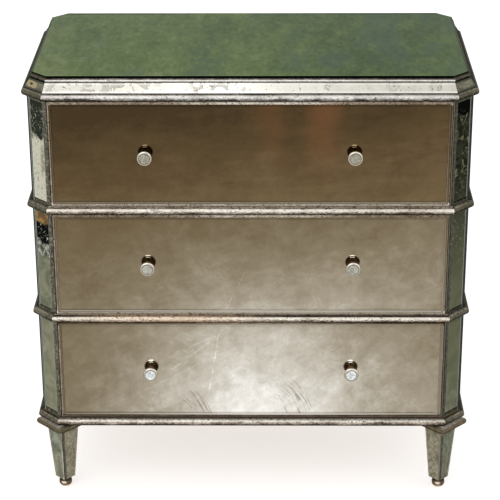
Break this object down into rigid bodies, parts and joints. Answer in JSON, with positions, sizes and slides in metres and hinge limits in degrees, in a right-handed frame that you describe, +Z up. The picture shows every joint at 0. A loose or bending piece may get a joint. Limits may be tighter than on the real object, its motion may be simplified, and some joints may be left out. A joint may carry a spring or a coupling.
{
  "type": "chest of drawers",
  "caption": "Straight-sided chest of equal drawers with canted corners, faced with antiqued mirror in silvered wood, on tapered mirrored legs with ball feet.",
  "frame": {"origin": "on the floor, under the middle of the whole chest with its knobs and leg collars", "axes": "+Z up, -Y out of the drawer fronts, +X to the right seen from the front"},
  "size_m": [0.925, 0.5136, 0.9462],
  "materials": {
    "silver_leaf": "wood with worn silver leaf",
    "plain_wood": "plain wood, matt",
    "antique_mirror": "antiqued mirror glass, cloudy and foxed",
    "knob_metal": "aged silvered metal",
    "dark_nickel": "dark bronzed nickel",
    "steel": "plain steel"
  },
  "bodies": {
    "carcass": {"top_mirror": "antique_mirror", "cornice_core": "silver_leaf", "top_board": "plain_wood", "cornice_upper_bead": "silver_leaf", "cornice_lower_bead": "silver_leaf", "frieze_mirrors": "antique_mirror", "side_panel_left": "silver_leaf", "side_panel_right": "silver_leaf", "side_mirrors": "antique_mirror", "back_panel": "plain_wood", "bottom_board": "plain_wood", "web_frame_upper": "plain_wood", "web_frame_lower": "plain_wood", "drawer_guides": "plain_wood", "drawer_stops": "plain_wood", "post_front_left": "silver_leaf", "post_front_right": "silver_leaf", "post_rear_left": "silver_leaf", "post_rear_right": "silver_leaf", "post_mirrors_left": "antique_mirror", "post_mirrors_right": "antique_mirror", "waist_moulding_upper": "silver_leaf", "waist_moulding_lower": "silver_leaf", "base_moulding": "silver_leaf", "leg_front_left": "silver_leaf", "leg_front_right": "silver_leaf", "leg_rear_left": "silver_leaf", "leg_rear_right": "silver_leaf", "leg_mirrors": "antique_mirror", "leg_collars": "silver_leaf", "ball_feet": "dark_nickel", "leg_bolts": "steel"},
    "bottom_drawer": {"bottom_drawer_front": "plain_wood", "bottom_drawer_sides": "plain_wood", "bottom_drawer_back": "plain_wood", "bottom_drawer_bottom": "plain_wood", "bottom_drawer_mirror": "antique_mirror", "bottom_drawer_frame": "silver_leaf", "bottom_drawer_knobs": "knob_metal", "bottom_drawer_knob_mirrors": "antique_mirror", "bottom_drawer_knob_screws": "steel"},
    "middle_drawer": {"middle_drawer_front": "plain_wood", "middle_drawer_sides": "plain_wood", "middle_drawer_back": "plain_wood", "middle_drawer_bottom": "plain_wood", "middle_drawer_mirror": "antique_mirror", "middle_drawer_frame": "silver_leaf", "middle_drawer_knobs": "knob_metal", "middle_drawer_knob_mirrors": "antique_mirror", "middle_drawer_knob_screws": "steel"},
    "top_drawer": {"top_drawer_front": "plain_wood", "top_drawer_sides": "plain_wood", "top_drawer_back": "plain_wood", "top_drawer_bottom": "plain_wood", "top_drawer_mirror": "antique_mirror", "top_drawer_frame": "silver_leaf", "top_drawer_knobs": "knob_metal", "top_drawer_knob_mirrors": "antique_mirror", "top_drawer_knob_screws": "steel"}
  },
  "joints": [
    {"name": "bottom_drawer_slide", "type": "slide", "parent": "carcass", "child": "bottom_drawer", "axis": [0, -1, 0], "range_m": [0, 0.33]},
    {"name": "middle_drawer_slide", "type": "slide", "parent": "carcass", "child": "middle_drawer", "axis": [0, -1, 0], "range_m": [0, 0.33]},
    {"name": "top_drawer_slide", "type": "slide", "parent": "carcass", "child": "top_drawer", "axis": [0, -1, 0], "range_m": [0, 0.33]}
  ]
}
